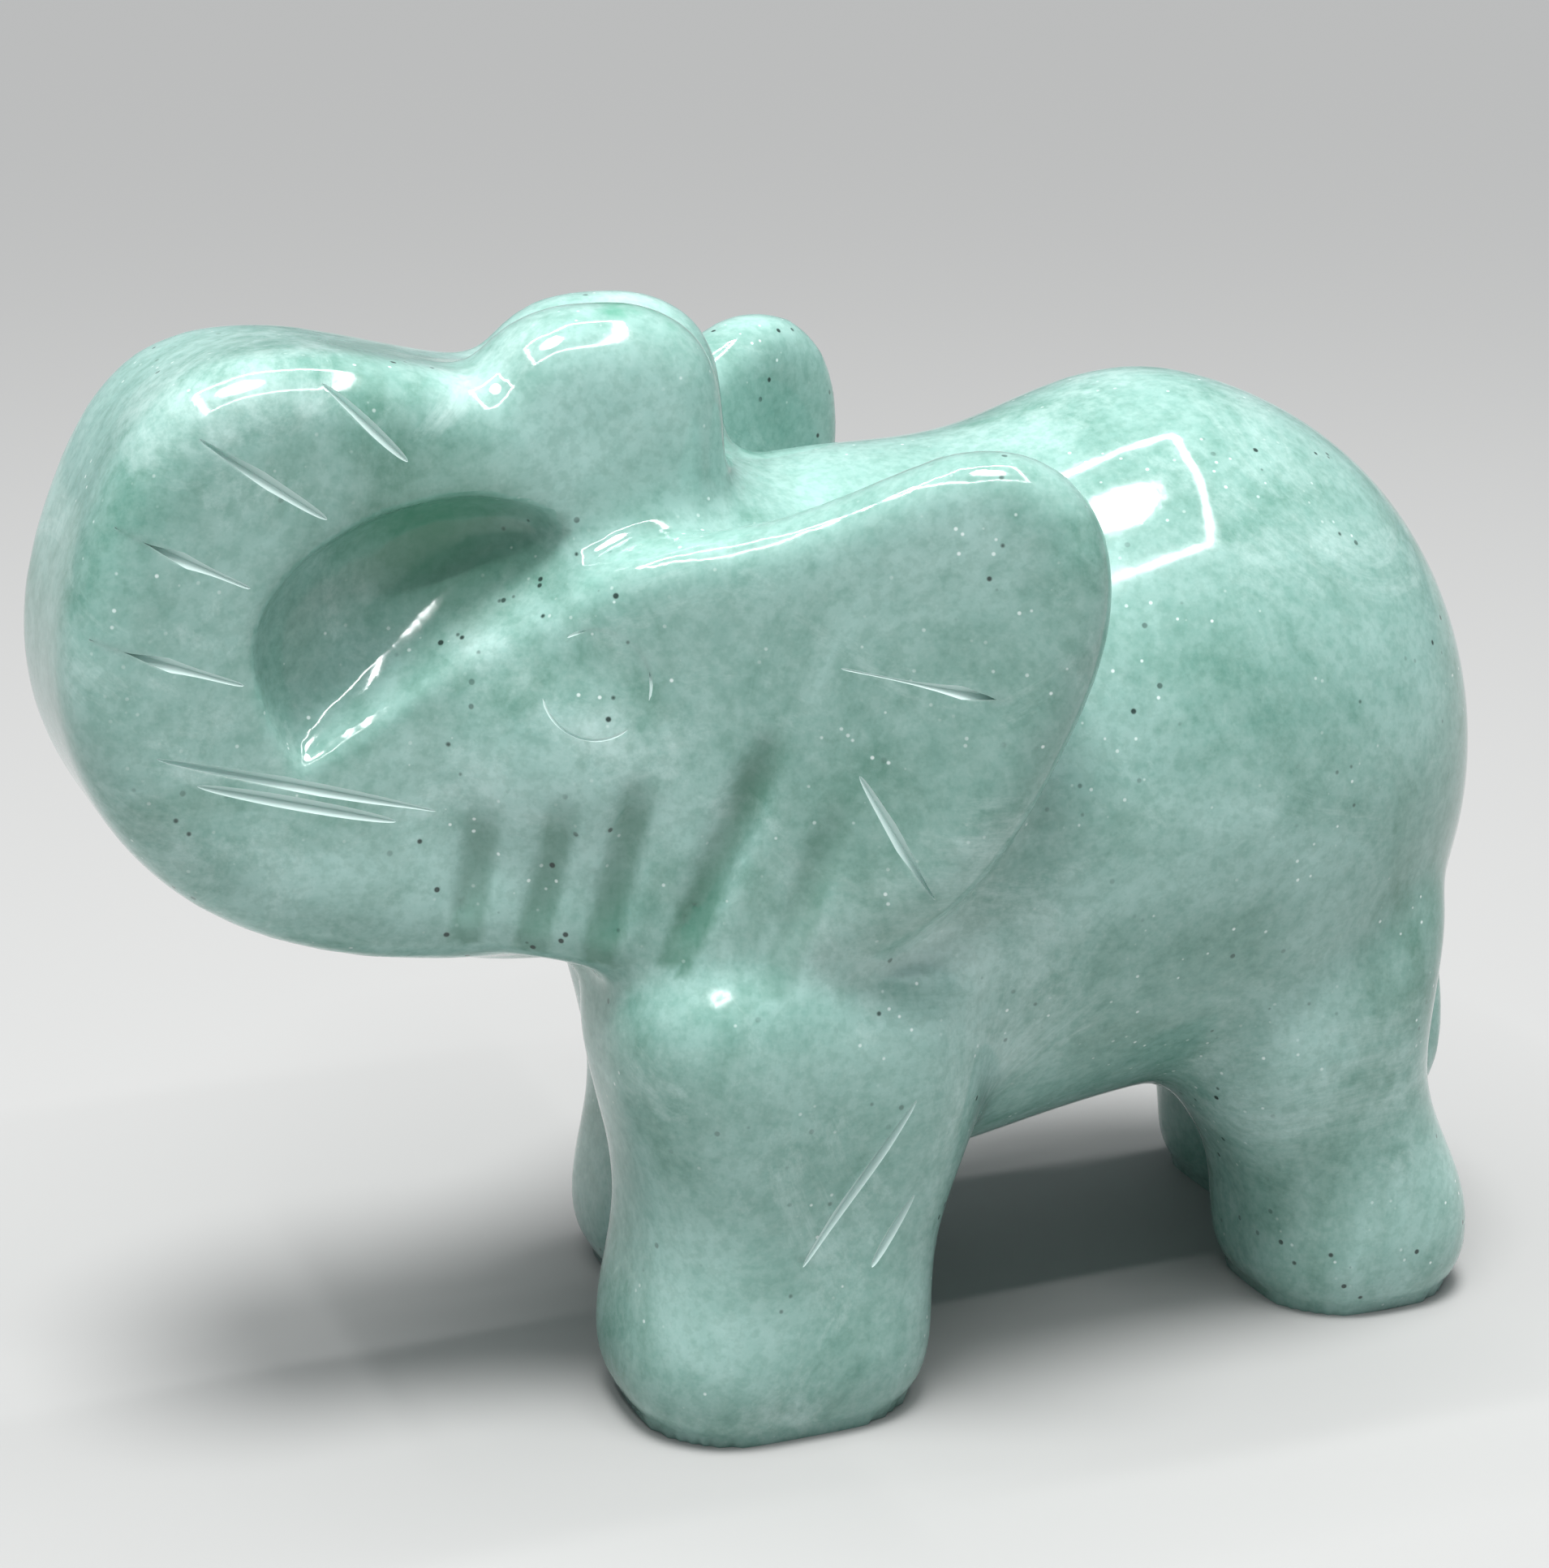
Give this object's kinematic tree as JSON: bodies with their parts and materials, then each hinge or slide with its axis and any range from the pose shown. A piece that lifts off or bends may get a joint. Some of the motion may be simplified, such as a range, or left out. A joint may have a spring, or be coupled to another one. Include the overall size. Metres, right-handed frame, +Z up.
{
  "type": "carved elephant figurine",
  "caption": "Small polished stone elephant, trunk raised and curled back to its brow, standing on four short legs.",
  "frame": {"origin": "on the ground plane, midway between the trunk's front and the rear heel and midway between the ears", "axes": "+Z up, +X from the trunk to the tail, -Y to the elephant's left side"},
  "size_m": [0.0492, 0.0262, 0.0346],
  "materials": {
    "jade": "high polish, cloudy pale green translucent stone with darker green patches, pale veils and sparse black specks"
  },
  "bodies": {
    "root": {"torso": "jade", "head": "jade", "brow_left": "jade", "brow_right": "jade", "trunk": "jade", "lower_lip": "jade", "left_ear": "jade", "right_ear": "jade", "front_left_leg": "jade", "front_right_leg": "jade", "rear_left_leg": "jade", "rear_right_leg": "jade", "tail": "jade"}
  },
  "joints": []
}
